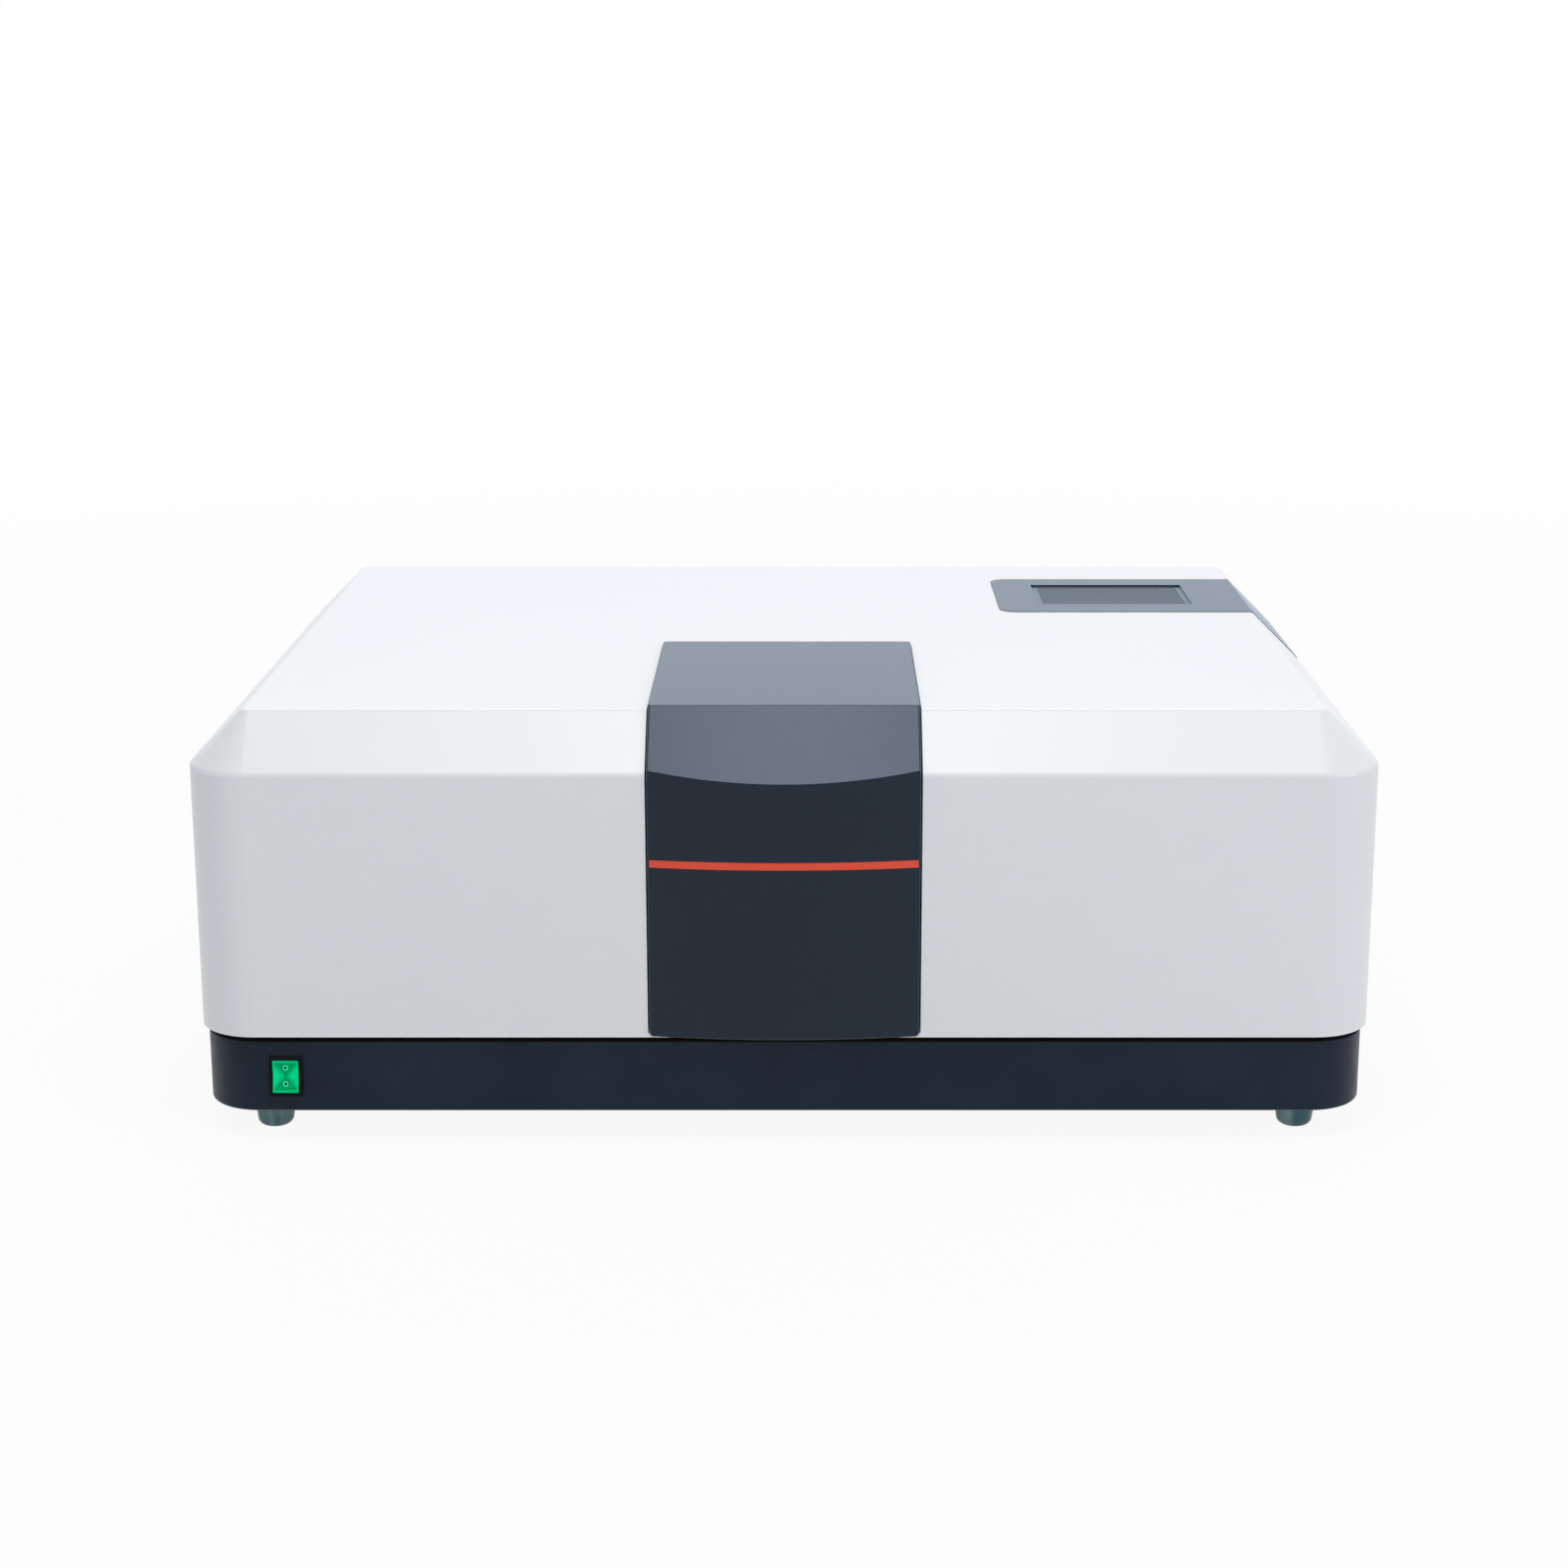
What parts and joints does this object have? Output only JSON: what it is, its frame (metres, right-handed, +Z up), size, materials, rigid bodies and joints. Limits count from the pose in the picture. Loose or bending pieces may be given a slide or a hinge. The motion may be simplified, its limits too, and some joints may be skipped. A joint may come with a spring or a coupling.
{
  "type": "bench spectrophotometer",
  "caption": "Low wide bench optical instrument: bevelled white hood on a dark tray with feet, hinged dark L-shaped sample lid with a red strip, wrapped corner vent, rocker switch.",
  "frame": {"origin": "middle of the footprint on the bench top", "axes": "+X to the user's right, +Y to the back, +Z up"},
  "size_m": [0.8805, 0.6563, 0.3265],
  "materials": {
    "white_paint": "smooth satin white moulding",
    "dark_paint": "satin blue-black powder coat",
    "dark_moulding": "satin blue-black moulding",
    "red_strip": "satin red plastic",
    "green_rocker": "translucent green, lit from behind",
    "black_plastic": "black plastic",
    "black_foam": "closed-cell foam and rubber strip",
    "foot": "glossy grey-green elastomer",
    "black_anodised": "matt black anodised",
    "casting": "sand-cast and machined aluminium",
    "steel": "ground steel",
    "sheet": "pale grey zinc-plated sheet",
    "silica": "clear fused silica",
    "mirror": "aluminised front surface",
    "board_green": "solder mask over glass fibre",
    "fan_black": "moulded black"
  },
  "bodies": {
    "chassis": {"hood": "white_paint", "base_tray": "dark_paint", "hood_gasket": "black_foam", "feet": "foot", "rear_panel": "sheet", "panel_screws": "steel", "vent_panel": "dark_moulding", "vent_louvre": "dark_moulding", "lid_hinge_brackets": "steel", "lid_hinge_pins": "steel", "compartment_tub": "black_anodised", "compartment_seal": "black_foam", "beam_windows": "silica", "changer_end_blocks": "black_anodised", "guide_rods": "steel", "changer_motor": "sheet", "reference_holder": "black_anodised", "optical_bench": "casting", "switch_bezel": "black_plastic", "fan_frame": "fan_black", "fan_guard": "steel", "mains_inlet": "black_plastic", "data_socket": "sheet", "lamp_house": "sheet", "lamp_sockets": "black_plastic", "deuterium_lamp": "silica", "halogen_lamp": "silica", "mirror_motors": "sheet", "filter_motor": "sheet", "chopper_motor": "sheet", "fold_mirrors": "mirror", "monochromator_box": "casting", "monochromator_cover": "black_anodised", "slit_plates": "black_anodised", "curved_mirrors": "mirror", "grating_motor": "sheet", "detector_box": "casting", "photomultiplier": "silica", "infrared_detector": "steel", "power_supply": "sheet", "circuit_boards": "board_green", "board_standoffs": "steel"},
    "lid": {"sample_lid": "dark_moulding", "lid_stripe": "red_strip"},
    "rocker": {"rocker": "green_rocker"},
    "cell_changer": {"changer_carriage": "black_anodised", "cell_block": "black_anodised"},
    "lead_screw": {"changer_screw": "steel"},
    "fuse_drawer": {"fuse_drawer": "black_plastic", "fuse": "silica"},
    "grating_turret": {"grating_table": "black_anodised", "uv_visible_grating": "mirror", "near_infrared_grating": "mirror"},
    "source_mirror": {"source_mirror": "mirror"},
    "detector_mirror": {"detector_mirror": "mirror"},
    "filter_wheel": {"filter_wheel": "black_anodised", "order_filters": "silica"},
    "chopper": {"chopper_disc": "black_anodised"},
    "fan": {"fan_rotor": "fan_black"}
  },
  "joints": [
    {"name": "lid_hinge", "type": "hinge", "parent": "chassis", "child": "lid", "pos_m": [0, -0.048, 0.318], "axis": [-1, 0, 0], "range_deg": [0, 80]},
    {"name": "rocker_tilt", "type": "hinge", "parent": "chassis", "child": "rocker", "pos_m": [-0.3725, -0.3155, 0.05], "axis": [1, 0, 0], "range_deg": [0, 14]},
    {"name": "changer_slide", "type": "slide", "parent": "chassis", "child": "cell_changer", "axis": [0, -1, 0], "range_m": [0, 0.054]},
    {"name": "screw_turn", "type": "hinge", "parent": "chassis", "child": "lead_screw", "pos_m": [0, 0, 0.102], "axis": [0, 1, 0], "range_deg": [0, 4870]},
    {"name": "drawer_slide", "type": "slide", "parent": "chassis", "child": "fuse_drawer", "axis": [0, 1, 0], "range_m": [0, 0.017]},
    {"name": "turret_turn", "type": "hinge", "parent": "chassis", "child": "grating_turret", "pos_m": [0.01, 0.08, 0.14], "axis": [0, 0, 1], "range_deg": [-90, 90]},
    {"name": "source_mirror_turn", "type": "hinge", "parent": "chassis", "child": "source_mirror", "pos_m": [0.295, 0.175, 0.14], "axis": [0, 0, 1], "range_deg": [0, 45]},
    {"name": "detector_mirror_turn", "type": "hinge", "parent": "chassis", "child": "detector_mirror", "pos_m": [0.275, -0.16, 0.14], "axis": [0, 0, 1], "range_deg": [0, 90]},
    {"name": "filter_wheel_turn", "type": "hinge", "parent": "chassis", "child": "filter_wheel", "pos_m": [0.158, 0.153, 0.14], "axis": [1, 0, 0], "continuous": true},
    {"name": "chopper_spin", "type": "hinge", "parent": "chassis", "child": "chopper", "pos_m": [-0.166, -0.07, 0.14], "axis": [0, 1, 0], "continuous": true},
    {"name": "fan_spin", "type": "hinge", "parent": "chassis", "child": "fan", "pos_m": [0.29, 0.3075, 0.186], "axis": [0, 1, 0], "continuous": true}
  ],
  "couplings": [
    {"joint": "screw_turn", "follows": "changer_slide", "rad_per_m": 1570.8}
  ]
}
